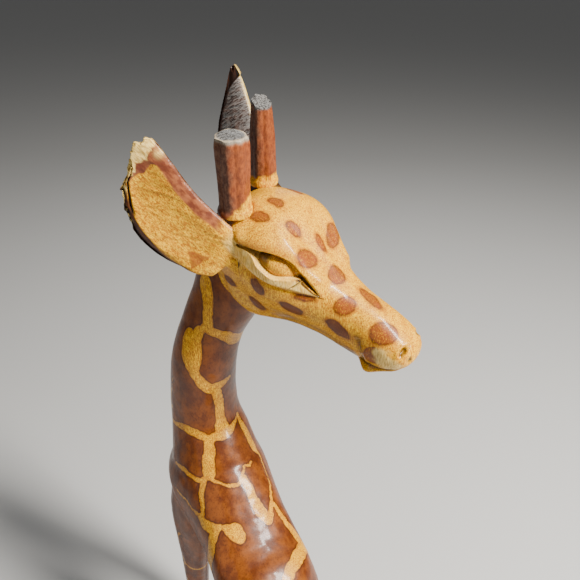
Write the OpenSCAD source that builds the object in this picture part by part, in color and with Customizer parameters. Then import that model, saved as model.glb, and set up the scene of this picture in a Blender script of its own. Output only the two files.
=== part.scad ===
// Carved wooden giraffe, standing, with its head turned back over its right shoulder.
// The head, neck, body and legs are one block. The ears, horns and tail are carved apart
// and glued into drilled sockets with round pegs.
// The giraffe faces -X, its left side is -Y, and its soles stand on z = 0.

/* [Height] */
// Height of the withers above the soles
withers_z = 266; // [256:1:276]
// Height of the top of the rump above the soles
rump_z = 222; // [214:1:232]
// Height of the middle of the skull above the soles
skull_z = 392; // [388:1:396]

/* [Body] */
// Width of the body across the shoulders
shoulder_w = 70; // [64:1:76]
// Width of the body across the hips
hip_w = 60; // [54:1:64]
// Distance from the fore legs to the hind legs
leg_base = 78; // [72:1:82]
// Distance between the left and the right legs
leg_gap = 34; // [30:1:36]

/* [Head] */
// Angle of the nose to the body's rear end, seen from above
head_turn = 30; // [24:1:36]
// Angle that the nose drops below level
head_drop = 26; // [20:1:32]
// Angle that the head leans over to its own right
head_lean = 7; // [0:1:10]
// Width of the head across the eyes
head_w = 50; // [46:1:54]

/* [Horns and ears] */
// Length of the right horn above the skull
right_horn_len = 35; // [30:1:37]
// Length of the left horn above the skull
left_horn_len = 38; // [32:1:40]
// Length that the right ear had before its tip broke off
right_ear_len = 75; // [73:1:78]
// Length that is left of the right ear
right_ear_kept = 63; // [58:1:68]
// Length of the left ear, which is whole
left_ear_len = 74; // [70:1:78]
// Width of the right ear at its widest
right_ear_w = 33; // [28:1:34]
// Width of the left ear at its widest
left_ear_w = 26; // [24:1:30]

/* [Pegs] */
// Diameter of the pegs on the horns and ears
peg_d = 5; // [4:0.5:6]
// Diameter of the peg on the tail
tail_peg_d = 4; // [3:0.5:5]
// Length of each peg
peg_len = 9; // [7:0.5:10]
// Gap for glue between a peg and its socket, all round
glue_gap = 0.1; // [0.05:0.01:0.2]

/* [Hidden] */

// Middle of the whole statue's outline seen from above, measured from between the shoulders
stand_middle = [36.1, 15.3, 0];
// Middle of the skull, between the eyes
head_place = [22.3, 18.6, skull_z];
right = -1;
left = 1;
round_fn = 48;

// How far a peg or a root runs on into the piece that it belongs to
joined = 1;
// Depth of the seats of the horns and the tail below the wood around them
seat_depth = 2;
// Room past the end of a peg, and how far a socket is cut outward from its seat
hole_spare = 0.5;
socket_reach = 20;
ear_socket_reach = 40;

// Points round an ear, and the depth of its hollow
leaf_sides = 18;
ear_dish = 2;
// How far an ear's peg is off the line of its root, as a share of the ear's width
ear_peg_share = 0.15;

// Places in the head's own frame: x to the nose, y to its left, z up
right_horn_foot = [-7, -14.9, 32];
left_horn_foot = [-12, 14, 31];
// Radius of each horn at its foot and near its top
right_horn_r = 7.8;
right_horn_top_r = 8;
left_horn_r = 6.8;
left_horn_top_r = 5.2;
horn_lean = 22;
right_ear_foot = [5, -21.5, 20];
left_ear_foot = [-3, 21, 18];
// How far each ear leans outward, how far it leans back, and how far it is turned
right_ear_aim = [17, 58, 151];
left_ear_aim = [16, 60, 190];

// Radius of the tail's root and its place on the rump
tail_r = 4;
tail_foot = [leg_base + 10, 0, 206];
// Angle of the tail's root from straight up
tail_aim = 105;

// ---- Curves and skins -------------------------------------------------------------

function unit(v) = v / norm(v);

// Value at t between b and c on a smooth curve through a, b, c and d
function smooth(a, b, c, d, t) = 0.5 * (2 * b + (c - a) * t
    + (2 * a - 5 * b + 4 * c - d) * t * t
    + (3 * b - a - 3 * c + d) * t * t * t);

// Row of a table of key rows at the fractional row number s
function row_at(rows, s) =
    let (last = len(rows) - 1, i = min(floor(s), last - 1))
    smooth(rows[max(i - 1, 0)], rows[i], rows[i + 1], rows[min(i + 2, last)], s - i);

// Key rows with `steps` smooth rows for each gap between them
function fill_rows(rows, steps) =
    [for (k = [0:(len(rows) - 1) * steps]) row_at(rows, k / steps)];

function power(v, e) = sign(v) * pow(abs(v), e);

function point_of(row) = [row[0], row[1], row[2]];

// Rounded cross-section in a plane of constant x. Its row holds x, the height of its
// widest line, half its width, its rise, its depth, its squareness and the share of its
// width that it loses towards the bottom.
function cross_section(row, sides) = [for (k = [0:sides - 1])
    let (a = 360 * k / sides, e = 2 / row[5], s = power(sin(a), e))
    let (narrow = s < 0 ? 1 + row[6] * s : 1)
    [row[0], row[2] * power(cos(a), e) * narrow, row[1] + (s > 0 ? row[3] : row[4]) * s]];

// Oval ring round a spine that runs along `along`. Its row holds the spine's point, half
// the ring's width and half its depth.
function oval(row, along, sides) =
    let (u = unit([0, 1, 0] - along * along[1]), v = cross(along, u))
    [for (k = [0:sides - 1]) let (a = 360 * k / sides)
        point_of(row) + u * row[3] * cos(a) + v * row[4] * sin(a)];

// Skin over rings that all have the same number of points
module skin(rings) {
    sides = len(rings[0]);
    top = (len(rings) - 1) * sides;
    first_cap = [for (k = [0:sides - 1]) k];
    last_cap = [for (k = [sides - 1:-1:0]) top + k];
    walls = [for (i = [0:len(rings) - 2], k = [0:sides - 1])
        let (a = i * sides + k, b = i * sides + (k + 1) % sides)
        each [[a, b + sides, b], [a, a + sides, b + sides]]];
    polyhedron([for (ring = rings) each ring], concat([first_cap], walls, [last_cap]));
}

// Solid along x through cross-sections
module carved_block(rows, sides, steps) {
    skin([for (row = fill_rows(rows, steps)) cross_section(row, sides)]);
}

// Solid round a spine. Its rings lie square to the spine, or level.
module carved_limb(rows, sides, steps, level = false) {
    full = fill_rows(rows, steps);
    last = len(full) - 1;
    skin([for (i = [0:last])
        let (run = point_of(full[min(i + 1, last)]) - point_of(full[max(i - 1, 0)]))
        oval(full[i], unit(level ? [0, 0, run[2]] : run), sides)]);
}

// ---- Places -----------------------------------------------------------------------

// Puts the middle of the statue's outline over the origin
module placed() {
    translate(-stand_middle) children();
}

module in_head_frame() {
    translate(head_place)
        rotate([0, 0, head_turn]) rotate([0, head_drop, 0]) rotate([head_lean, 0, 0])
            children();
}

// z runs up the horn from the bottom of its seat
module in_horn_frame(side) {
    foot = side == right ? right_horn_foot : left_horn_foot;
    in_head_frame() translate(foot) rotate([0, -horn_lean, 0]) children();
}

// z runs out along the ear from the bottom of its seat, x to its lower edge, and y to its
// hollow front face on the right ear and to its back on the left ear
module in_ear_frame(side) {
    foot = side == right ? right_ear_foot : left_ear_foot;
    aim = side == right ? right_ear_aim : left_ear_aim;
    in_head_frame() translate(foot)
        rotate([-side * aim[0], -aim[1], 0]) rotate([0, 0, side * aim[2]]) children();
}

// z runs out of the rump along the root of the tail
module in_tail_frame() {
    translate(tail_foot) rotate([0, tail_aim, 0]) children();
}

// Round peg below the seat of the piece that it is on
module peg(d) {
    translate([0, 0, -peg_len]) cylinder(h = peg_len + joined, d = d, $fn = round_fn);
}

// Round hole for a peg, with its bottom a little past the peg's end
module peg_hole(d) {
    translate([0, 0, -peg_len - hole_spare])
        cylinder(h = peg_len + hole_spare + joined, d = d + 2 * glue_gap, $fn = round_fn);
}

// ---- Body -------------------------------------------------------------------------

module barrel() {
    w = shoulder_w / 2;
    h = hip_w / 2;
    end_x = leg_base + 14;
    carved_block([
        [-33, 230, 3, 4, 4, 2, 0],
        [-31, 230, 12, 12, 14, 2.1, 0],
        [-23, 231, w - 12, 20, 26, 2.1, 0.1],
        [-10, 232, w - 6, 25, 37, 2.1, 0.15],
        [5, 231, w - 4, withers_z - 233, 41, 2.1, 0.15],
        [22, 226, w - 6, withers_z - 229, 40, 2.1, 0.1],
        [42, 216, w - 8, (withers_z + rump_z) / 2 - 212, 34, 2.2, 0.1],
        [62, 207, h - 1, rump_z - 201, 25, 2.2, 0.1],
        [77, 204, h - 3, rump_z - 204, 23, 2.2, 0.1],
        [end_x - 5, 203, h - 11, 12, 16, 2.1, 0.1],
        [end_x, 202, 3, 3, 4, 2, 0]
    ], 28, 2);
}

module neck() {
    carved_limb([
        [15, 18, 413, 4, 4],
        [14, 17.5, 408, 11, 11.5],
        [12, 16, 396, 16, 17.5],
        [9, 13.5, 370, 18.5, 20],
        [3, 5, 346, 17.5, 17.5],
        [0, -0.5, 325, 18.5, 18.5],
        [-5, -1.5, 300, 19.5, 19.5],
        [-7, -1, 278, 21, 22],
        [-4, 0, 262, 24, 27],
        [1, 0, 247, 27, 31],
        [6, 0, 234, 28, 32]
    ], 24, 3);
}

module fore_leg(side) {
    y = side * leg_gap / 2;
    carved_limb([
        [0, y * 0.8, 244, 3, 4],
        [-1, y * 0.95, 234, 10, 15],
        [-3, y * 1.08, 208, 13, 18],
        [-4, y * 1.1, 180, 12, 17],
        [-6, y * 1.14, 148, 9.5, 13],
        [-9, y * 1.12, 108, 8, 9],
        [-7, y * 1.1, 92, 7, 7.5],
        [-6, y * 1.05, 45, 6, 6.5],
        [-6, y, 22, 7, 7.5],
        [-8, y, 12, 7.5, 9],
        [-10, y, 0, 9, 11.5]
    ], 14, 2, level = true);
}

module hind_leg(side) {
    y = side * leg_gap / 2;
    x = leg_base;
    carved_limb([
        [x - 10, y * 0.8, 218, 2.5, 4],
        [x - 9, y * 0.95, 212, 9, 13],
        [x - 7, y * 1.1, 195, 12.5, 18],
        [x - 4, y * 1.08, 165, 10.5, 14.5],
        [x + 3, y, 128, 8, 9.5],
        [x + 8, y, 102, 7, 8],
        [x + 5, y, 84, 6.5, 7],
        [x + 2, y, 45, 6, 6.5],
        [x + 1, y, 22, 7, 7.5],
        [x - 1, y, 12, 7.5, 9],
        [x - 3, y, 0, 9, 11.5]
    ], 14, 2, level = true);
}

// Hanging tail with a tuft
module tail() {
    color("saddlebrown") placed() in_tail_frame() {
        peg(tail_peg_d);
        cylinder(h = seat_depth + 2 * joined, r = tail_r, $fn = round_fn);
        translate([0, 0, seat_depth + joined]) carved_limb([
            [0, 0, 0, tail_r, tail_r],
            [0.5, 0, 4, tail_r, tail_r],
            [6, 0, 9, 3.2, 3.2],
            [26, 0, 14, 2.8, 2.8],
            [54, 0, 18, 3, 3],
            [65, 0, 19, 4.5, 5],
            [79, 0, 20, 5.2, 5.8],
            [91, 0, 21, 3.5, 4],
            [98, 0, 22, 1.2, 1.4]
        ], 12, 2);
    }
}

// ---- Head -------------------------------------------------------------------------

module head() {
    w = head_w / 2;
    in_head_frame() carved_block([
        [-15, 16, 7, 7, 7, 2, 0],
        [-13, 16, w - 10, 14, 16, 2.1, 0],
        [-6, 14, w - 3, 23, 26, 2.3, 0.2],
        [3, 13, w, 28, 31, 2.5, 0.25],
        [13, 13, w + 1, 29, 32, 2.6, 0.3],
        [24, 12, w, 26, 31, 2.6, 0.32],
        [35, 10, w - 4, 21, 23.5, 2.5, 0.3],
        [46, 10, w - 8.5, 16.5, 19, 2.4, 0.2],
        [59, 10, w - 12, 15, 17, 2.3, 0.1],
        [72, 10.5, w - 12.5, 14.5, 15.5, 2.3, 0.05],
        [82, 11, w - 12, 12.5, 14, 2.3, 0],
        [88, 11.5, w - 13, 10.5, 12, 2.3, 0],
        [92, 12.5, w - 15, 7.5, 8, 2.2, 0],
        [94, 13.5, w - 18, 4.5, 5, 2.1, 0],
        [95, 14, w - 22, 2, 2.5, 2, 0]
    ], 24, 2);
}

// ---- Horns ------------------------------------------------------------------------

module horn(side, length, base_r, top_r) {
    color("saddlebrown") placed() in_horn_frame(side) {
        peg(peg_d);
        cylinder(h = seat_depth + joined, r = base_r, $fn = round_fn);
        translate([0, 0, seat_depth]) carved_limb([
            [0, 0, 0, base_r - 0.2, base_r - 0.2],
            [0, 0, length * 0.4, base_r - 0.4, base_r - 0.5],
            [0, 0, length * 0.85, top_r, top_r - 0.3],
            [0, 0, length, top_r - 1, top_r - 1.2]
        ], 12, 3, level = true);
    }
}

module horn_right() horn(right, right_horn_len, right_horn_r, right_horn_top_r);
module horn_left() horn(left, left_horn_len, left_horn_r, left_horn_top_r);

// ---- Ears -------------------------------------------------------------------------

function ear_w(side) = side == right ? right_ear_w : left_ear_w;

// Ring of an ear: its row holds z, its two edges and its thickness
function leaf_ring(row, side) =
    let (middle = (row[2] + row[1]) / 2, half = (row[2] - row[1]) / 2)
    [for (k = [0:leaf_sides - 1])
        let (a = 360 * k / leaf_sides, c = power(cos(a), 0.8), s = power(sin(a), 0.8))
        let (dish = s * side < 0 ? ear_dish * (1 - c * c) : 0)
        [middle + half * c, row[3] / 2 * s + side * dish, row[0]]];

// Blade of an ear as far as kept_len, grown all round by g
module leaf(side, full_len, kept_len, g) {
    w = ear_w(side);
    rows = [
        [0, -0.2 * w - g, 0.5 * w + g, 7.5 + g],
        [9, -0.18 * w - g, 0.72 * w + g, 8 + g],
        [18, -0.16 * w - g, 0.86 * w + g, 8 + g],
        [28, -0.14 * w - g, 0.91 * w + g, 7.5 + g],
        [38, -0.15 * w - g, 0.88 * w + g, 7 + g],
        [49, -0.2 * w - g, 0.73 * w + g, 6.5 + g],
        [full_len - 17, -0.23 * w - g, 0.49 * w + g, 6 + g],
        [full_len - 9, -0.24 * w - g, 0.2 * w + g, 5 + g],
        [full_len - 2, -0.2 * w - g, -0.04 * w + g, 3 + g],
        [full_len, -0.17 * w - g, -0.12 * w + g, 1.5 + g]
    ];
    skin([for (row = fill_rows(rows, 2)) if (row[0] <= kept_len) leaf_ring(row, side)]);
}

module ear(side, full_len, kept_len) {
    color("goldenrod") placed() in_ear_frame(side) {
        leaf(side, full_len, kept_len, 0);
        translate([ear_peg_share * ear_w(side), 0, 0]) peg(peg_d);
    }
}

module ear_right() ear(right, right_ear_len, right_ear_kept);
module ear_left() ear(left, left_ear_len, left_ear_len);

// ---- Figure -----------------------------------------------------------------------

module horn_socket(side, base_r) {
    in_horn_frame(side) {
        peg_hole(peg_d);
        cylinder(h = socket_reach, r = base_r + glue_gap, $fn = round_fn);
    }
}

module ear_socket(side) {
    in_ear_frame(side) {
        translate([ear_peg_share * ear_w(side), 0, 0]) peg_hole(peg_d);
        leaf(side, right_ear_len, ear_socket_reach, glue_gap);
    }
}

module tail_socket() {
    in_tail_frame() {
        peg_hole(tail_peg_d);
        cylinder(h = socket_reach, r = tail_r + glue_gap, $fn = round_fn);
    }
}

module carved_figure() {
    color("peru") placed() difference() {
        union() {
            barrel();
            neck();
            head();
            for (side = [right, left]) {
                fore_leg(side);
                hind_leg(side);
            }
        }
        horn_socket(right, right_horn_r);
        horn_socket(left, left_horn_r);
        ear_socket(right);
        ear_socket(left);
        tail_socket();
    }
}

carved_figure();
horn_right();
horn_left();
ear_right();
ear_left();
tail();
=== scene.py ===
"""Looks of a carved and painted wooden giraffe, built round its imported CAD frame.

Points are in millimetres while a piece is being carved, in the row frame or in the head's own
frame: x to the nose, y to the head's left, z up through the skull.
"""
import itertools
import math

import bmesh
import bpy
import numpy as np
from mathutils import Matrix, Vector
from mathutils.bvhtree import BVHTree
from mathutils.kdtree import KDTree


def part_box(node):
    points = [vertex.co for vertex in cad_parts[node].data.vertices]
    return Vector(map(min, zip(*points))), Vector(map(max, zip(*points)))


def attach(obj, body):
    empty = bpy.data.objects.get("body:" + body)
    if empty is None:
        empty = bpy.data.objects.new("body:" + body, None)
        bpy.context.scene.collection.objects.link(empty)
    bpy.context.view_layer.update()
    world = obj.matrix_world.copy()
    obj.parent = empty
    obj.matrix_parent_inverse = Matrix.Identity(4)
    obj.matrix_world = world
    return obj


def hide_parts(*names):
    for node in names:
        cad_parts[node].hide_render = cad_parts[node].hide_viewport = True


MM = 0.001
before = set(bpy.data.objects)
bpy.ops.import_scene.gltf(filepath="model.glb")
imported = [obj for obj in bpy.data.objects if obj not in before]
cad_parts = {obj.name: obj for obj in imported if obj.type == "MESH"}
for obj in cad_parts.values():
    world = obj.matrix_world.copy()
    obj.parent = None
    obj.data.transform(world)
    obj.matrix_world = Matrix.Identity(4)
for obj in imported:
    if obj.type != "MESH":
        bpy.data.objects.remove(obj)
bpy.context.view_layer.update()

# ---- Places ---------------------------------------------------------------------------

figure_low = np.array(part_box("carved_figure")[0]) / MM
# Middle of the skull, and how the head is turned, dropped and leaned over
SKULL = figure_low + [55.3, 0, 392]
SKULL[1] = 3.3
HEAD_TURN, HEAD_DROP, HEAD_LEAN = 30, 26, 7
HORN_FEET = {"right": (-7, -14.9, 32), "left": (-12, 14, 31)}
HORN_LEAN = 22
# For each horn: the height of its sawn top, how much longer it is made than the CAD's, how many
# knife flats it has, how steeply its top rises to the camera's right and falls towards the camera,
# and how high its brown paint begins and how steeply that edge rises to the right
HORN_CUTS = {
    "right": (37, 0, 7, -0.05, 0, 3.4, 1.0),
    "left": (43.2, 2.6, 6, -0.3, 0.4, 5.5, 0.1),
}
EAR_FEET = {"right": (5, -21.5, 20), "left": (-3, 21, 18)}
EAR_AIMS = {"right": (17, 58, 151), "left": (16, 60, 190)}
# Width of each ear, and its upper and lower edges as shares of that, by the distance out along it
EAR_WIDTHS = {"right": 33, "left": 26}
EAR_UPPER = [
    (0, -0.2), (9, -0.18), (18, -0.16), (28, -0.14), (38, -0.15), (49, -0.2), (57.5, -0.23),
    (66, -0.24), (73, -0.2),
]
EAR_LOWER = [
    (0, 0.5), (9, 0.72), (18, 0.86), (28, 0.91), (38, 0.88), (49, 0.73), (57.5, 0.49),
    (66, 0.2), (73, -0.04),
]
SIDES = {"right": -1, "left": 1}
# Middle of the neck above the withers, as x and y
NECK = (-33, -15)
# Height of the hooves, the y of the middle of the body, and how far from it the legs stand
HOOF = 13.5
MIDDLE_Y = -15.3
LEG_OUT = 17
# Length of the tail's tuft
TUFT = 34
# Distance between a mesh's points before it is carved
SPACING = {"figure": 0.8, "horn": 0.45, "ear": 0.42, "tail": 0.5}


def turned(axis, degrees):
    """Rotation matrix about one of the axes x, y and z."""
    c, s = math.cos(math.radians(degrees)), math.sin(math.radians(degrees))
    i, j = [(1, 2), (2, 0), (0, 1)]["xyz".index(axis)]
    m = np.eye(3)
    m[i, i], m[i, j], m[j, i], m[j, j] = c, -s, s, c
    return m


HEAD = turned("z", HEAD_TURN) @ turned("y", HEAD_DROP) @ turned("x", HEAD_LEAN)


class Place:
    """A local frame: where its origin is and how it is turned, in the row frame."""

    def __init__(self, origin, axes):
        self.origin = np.array(origin, float)
        self.axes = axes

    def inside(self, points):
        return (points - self.origin) @ self.axes

    def outside(self, points):
        return points @ self.axes.T + self.origin


head = Place(SKULL, HEAD)
horn_places = {
    side: Place(head.outside(np.array(foot, float)), HEAD @ turned("y", -HORN_LEAN))
    for side, foot in HORN_FEET.items()
}
ear_places = {}
for side, foot in EAR_FEET.items():
    outward, back, twist = EAR_AIMS[side]
    sign = SIDES[side]
    aim = turned("y", -back) @ turned("x", -sign * outward) @ turned("z", sign * twist)
    ear_places[side] = Place(head.outside(np.array(foot, float)), HEAD @ aim)

# ---- Camera ---------------------------------------------------------------------------

CAMERA_AT = (221.7, -108.7, 521)
CAMERA_AZIMUTH, CAMERA_PITCH = 60, 30

camera_data = bpy.data.cameras.new("camera")
camera_data.lens = 36
camera_data.sensor_width = 36
camera_data.clip_start = 0.01
camera = bpy.data.objects.new("camera", camera_data)
bpy.context.scene.collection.objects.link(camera)
camera.location = Vector(CAMERA_AT) * MM
camera.rotation_euler = (math.radians(90 - CAMERA_PITCH), 0, math.radians(CAMERA_AZIMUTH))
bpy.context.scene.camera = camera

# ---- Numbers over points --------------------------------------------------------------


def step(low, high, value):
    """0 below low, 1 above high, and smooth between them."""
    t = np.clip((value - low) / (high - low), 0, 1)
    return t * t * (3 - 2 * t)


def bump(value, middle, width):
    """1 at the middle, falling smoothly to almost 0 two widths away."""
    return np.exp(-(((value - middle) / width) ** 2))


def hashed(cell, seed):
    """A number from 0 to 1 for each cell of a grid."""
    n = cell[:, 0] * 73856093 ^ cell[:, 1] * 19349663 ^ cell[:, 2] * 83492791
    n = (n ^ (seed * 2654435761)) & 0x7FFFFFFF
    n = ((n ^ (n >> 13)) * 1274126177) & 0x7FFFFFFF
    n = ((n ^ (n >> 16)) * 1103515245) & 0x7FFFFFFF
    return n / 0x7FFFFFFF


def noise(points, size, seed=0):
    """Smooth noise from -1 to 1, with lumps of that size along each axis."""
    scaled = points / np.array(size, float)
    cell = np.floor(scaled).astype(np.int64)
    part = scaled - cell
    part = part * part * (3 - 2 * part)
    total = np.zeros(len(points))
    for corner in itertools.product((0, 1), repeat=3):
        weight = np.prod(np.where(np.array(corner) == 1, part, 1 - part), axis=1)
        total += weight * hashed(cell + np.array(corner), seed)
    return total * 2 - 1


def wobble(points, size, seed):
    """Smooth noise for each of the three axes, with lumps of that size."""
    return np.stack([noise(points, (size,) * 3, seed + k) for k in range(3)], axis=1)


def curve_at(points, x):
    """Height at x of a smooth curve through (x, height) points, level past its ends."""
    xs, ys = np.array(points, float).T
    slopes = np.gradient(ys, xs)
    x = np.clip(x, xs[0], xs[-1])
    i = np.clip(np.searchsorted(xs, x) - 1, 0, len(xs) - 2)
    span = xs[i + 1] - xs[i]
    t = (x - xs[i]) / span
    a, b = (1 + 2 * t) * (1 - t) ** 2, t * t * (3 - 2 * t)
    c, d = t * (1 - t) ** 2 * span, t * t * (t - 1) * span
    return a * ys[i] + b * ys[i + 1] + c * slopes[i] + d * slopes[i + 1]


def to_path(points, path):
    """Distance from each point to a path, and how far along it from 0 to 1 that is."""
    path = np.array(path, float)
    best = np.full(len(points), 1e9)
    along = np.zeros(len(points))
    for k in range(len(path) - 1):
        run = path[k + 1] - path[k]
        t = np.clip((points - path[k]) @ run / (run @ run), 0, 1)
        gap = np.linalg.norm(points - path[k] - t[:, None] * run, axis=1)
        nearer = gap < best
        best[nearer] = gap[nearer]
        along[nearer] = (k + t[nearer]) / (len(path) - 1)
    return best, along


# ---- Meshes ---------------------------------------------------------------------------


class Carving:
    """A piece's mesh as arrays, in millimetres in the row frame, while it is carved."""

    def __init__(self, node, name, spacing):
        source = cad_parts[node].data.copy()
        piece = bpy.data.objects.new(name, source)
        bpy.context.scene.collection.objects.link(piece)
        weld = piece.modifiers.new("weld", "WELD")
        weld.merge_threshold = 0.01 * MM
        remesh = piece.modifiers.new("even", "REMESH")
        remesh.mode = "VOXEL"
        remesh.voxel_size = spacing * MM
        remesh.adaptivity = 0
        graph = bpy.context.evaluated_depsgraph_get()
        mesh = bpy.data.meshes.new_from_object(piece.evaluated_get(graph))
        piece.modifiers.clear()
        piece.data = mesh
        mesh.name = name
        mesh.materials.clear()
        self.piece, self.mesh, self.node = piece, mesh, node
        self.read()

    def read(self):
        points = np.empty(len(self.mesh.vertices) * 3)
        self.mesh.vertices.foreach_get("co", points)
        self.points = points.reshape(-1, 3) / MM
        edges = np.empty(len(self.mesh.edges) * 2, np.int64)
        self.mesh.edges.foreach_get("vertices", edges)
        self.edges = edges.reshape(-1, 2)

    def write(self):
        self.mesh.vertices.foreach_set("co", (self.points * MM).ravel())
        self.mesh.update()

    def normals(self):
        self.write()
        found = np.empty(len(self.points) * 3)
        self.mesh.vertex_normals.foreach_get("vector", found)
        return found.reshape(-1, 3)

    def smooth(self, rounds, share=0.5):
        """Evens the surface out. share is one number, or one for each point."""
        a, b = self.edges.T
        size = len(self.points)
        count = np.bincount(a, minlength=size) + np.bincount(b, minlength=size)
        share = np.broadcast_to(np.asarray(share, float), size)
        for _ in range(rounds):
            for k in range(3):
                at = self.points[:, k]
                mean = np.bincount(a, at[b], size) + np.bincount(b, at[a], size)
                self.points[:, k] = at + share * (mean / count - at)

    def split(self, chosen):
        """Halves the mesh spacing where both ends of an edge are chosen."""
        self.write()
        work = bmesh.new()
        work.from_mesh(self.mesh)
        work.verts.ensure_lookup_table()
        edges = [e for e in work.edges if chosen[e.verts[0].index] and chosen[e.verts[1].index]]
        bmesh.ops.subdivide_edges(work, edges=edges, cuts=1, use_grid_fill=True)
        work.to_mesh(self.mesh)
        work.free()
        self.read()

    def note(self, name, values):
        """Keeps one number for each point, which the materials read."""
        layer = self.mesh.attributes.new(name, "FLOAT", "POINT")
        layer.data.foreach_set("value", np.asarray(values, np.float32))

    def done(self, material):
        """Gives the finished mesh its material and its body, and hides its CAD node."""
        self.write()
        for polygon in self.mesh.polygons:
            polygon.use_smooth = True
        self.mesh.materials.append(material)
        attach(self.piece, "root")
        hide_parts(self.node)


def near_nodes(points, names, reach):
    """Nearness of each point to the CAD nodes: 1 touching them, 0 from reach onward."""
    tree = BVHTree.FromPolygons(*joined(names))
    boxes = [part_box(name) for name in names]
    close = np.zeros(len(points), bool)
    for low, high in boxes:
        inside = (points > np.array(low) / MM - reach) & (points < np.array(high) / MM + reach)
        close |= inside.all(axis=1)
    nearness = np.zeros(len(points))
    for i in np.flatnonzero(close):
        gap = tree.find_nearest(Vector(points[i]), reach)[3]
        nearness[i] = 0 if gap is None else 1 - gap / reach
    return nearness


def joined(names):
    """Points and faces of several CAD nodes together, in millimetres."""
    points, faces = [], []
    for name in names:
        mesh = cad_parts[name].data
        first = len(points)
        points += [v.co / MM for v in mesh.vertices]
        faces += [[first + i for i in f.vertices] for f in mesh.polygons]
    return points, faces


# ---- Carving the head -----------------------------------------------------------------
# Curves seen flat from the side of the head, as (x, z) points in its frame: the lower edge of the
# brow, the top and foot of the lower lid, the top of the lower lip, and where jaw and neck meet

BROW_EDGE = [
    (-2, 25), (3, 26.5), (7, 28.3), (12, 30), (20, 32), (26, 31.2), (32, 28), (38, 24.6), (45, 21),
]
LID_TOP = [
    (-2, 24.6), (4, 26), (9, 27.6), (13, 27), (15.5, 25), (19, 23.8), (24, 22.9),
    (29, 24.4), (33, 25.6), (38, 23.6), (45, 20.8),
]
LID_FOOT = [
    (-2, 19.5), (5, 20.4), (12, 18.8), (18, 18.3), (24, 18.7), (31, 19.2), (37, 19.6), (45, 20.6),
]
LIP = [(72, -4), (80, 1), (85, 3), (90, 6)]
JAW_LINE = [(-20, 4), (-12, -2), (0, -12), (12, -17), (25, -22), (100, -30)]
# What is finely meshed: the head above this line, and a box round each eye
FINE_ABOVE = [(-6, 5), (10, -10), (30, -25)]
EYE_BOX, EYE_BOX_HALF = (22, 25), (26, 9)
# Middle and half sizes of the eyeball, seen flat
EYE = (23.5, 27.3)
EYE_HALF = (10.5, 4.6)
# How far along the lower lid its split is
LID_SPLIT = 33
# Paths in the head's frame, the first two seen flat from its side
MOUTH = [(72, 0, -3), (76, 0, 0.2), (80, 0, 3), (85, 0, 4.8), (90, 0, 8), (96, 0, 10.5)]
CHEEK_FOLD = [(68.3, 0, 13.4), (71, 0, 10.5), (73.5, 0, 7), (76, 0, 1.5)]
JAW_EDGE = [
    (12, -12, -16), (25, -15, -9), (33, -14, -7), (43, -14, -1.5), (53, -11, -2), (64, -10, -2),
    (74, -10, -2),
]
TEMPLE = [(16, -11, 40), (26, -7, 37), (38, -4, 33), (50, -3.5, 28), (60, -3, 26)]
# Middle and half sizes of a nostril, and the swelling at the corner of the mouth
NOSTRIL = (88.3, -7.3, 18.6)
NOSTRIL_SHAPE = (0.8, 1.6, 2.6)
MOUTH_CORNER = (74.5, -12, 8.5)
# Places in the head's frame, on its right side only: small chips by the nostril, a knot, the
# corner between the horn and the ear, and the bare wood at the ear's root
CHIPS = (93.5, -6.6, 16.5)
KNOT = (7.5, -25.2, 16)
CORNER = (-1, -19.5, 28)
EAR_ROOT = (6, -23, 21)


def on_right(points):
    """Points in the head's frame, with its left half folded over onto its right half."""
    return points * [1, 0, 1] - np.abs(points) * [0, 1, 0]


def from_nostril(local):
    """Distance to the nearer nostril's middle in shares of its half sizes, made uneven."""
    gap = np.linalg.norm((on_right(local) - NOSTRIL) / NOSTRIL_SHAPE, axis=1)
    return gap + 0.35 * noise(local, (1.3, 1.3, 1.3), 26)


def from_chips(local):
    """Distance to the chips by the right nostril, made uneven."""
    return np.linalg.norm(local - CHIPS, axis=1) + 0.8 * noise(local, (1.2, 1.2, 1.2), 25)


def round_eye(x, z):
    """Squared distance from the eyeball's middle in shares of its half sizes: 1 on its edge."""
    return ((x - EYE[0]) / EYE_HALF[0]) ** 2 + ((z - EYE[1]) / EYE_HALF[1]) ** 2


def carve_eye(q, side_on):
    """How far the wood around an eye stands out, in millimetres."""
    x, z = q[:, 0], q[:, 2]
    brow, top, foot = (curve_at(c, x) for c in (BROW_EDGE, LID_TOP, LID_FOOT))
    reach = step(-5, 3, x) * (1 - step(40, 47, x))
    over = z - brow
    ridge = 2.3 * np.where(over > 0, bump(over, 1.0, 6), bump(over, 0, 0.3))
    in_slot = step(0, 0.5, brow - z) * step(-0.1, 0.4, z - top)
    ball = 3.8 * np.sqrt(np.clip(1 - round_eye(x, z), 0, 1))
    slot = in_slot * (ball - 3.6)
    share = np.clip((z - foot) / np.maximum(top - foot, 0.4), 0, 1)
    lid = 1.8 * step(0, 0.28, share) * (0.6 + 0.4 * share) * (1 - step(0.93, 1, share))
    under = -0.6 * bump(z, foot - 0.5, 1.1)
    seam = -1.2 * bump(z, (brow + top) / 2, 0.5) * (brow - top < 1.6)
    split = -1.1 * bump(x, LID_SPLIT + 0.5 * (z - 22), 0.35) * (z > foot + 2) * (z < top + 0.5)
    return side_on * reach * (ridge + slot + lid + under + seam + split)


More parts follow.
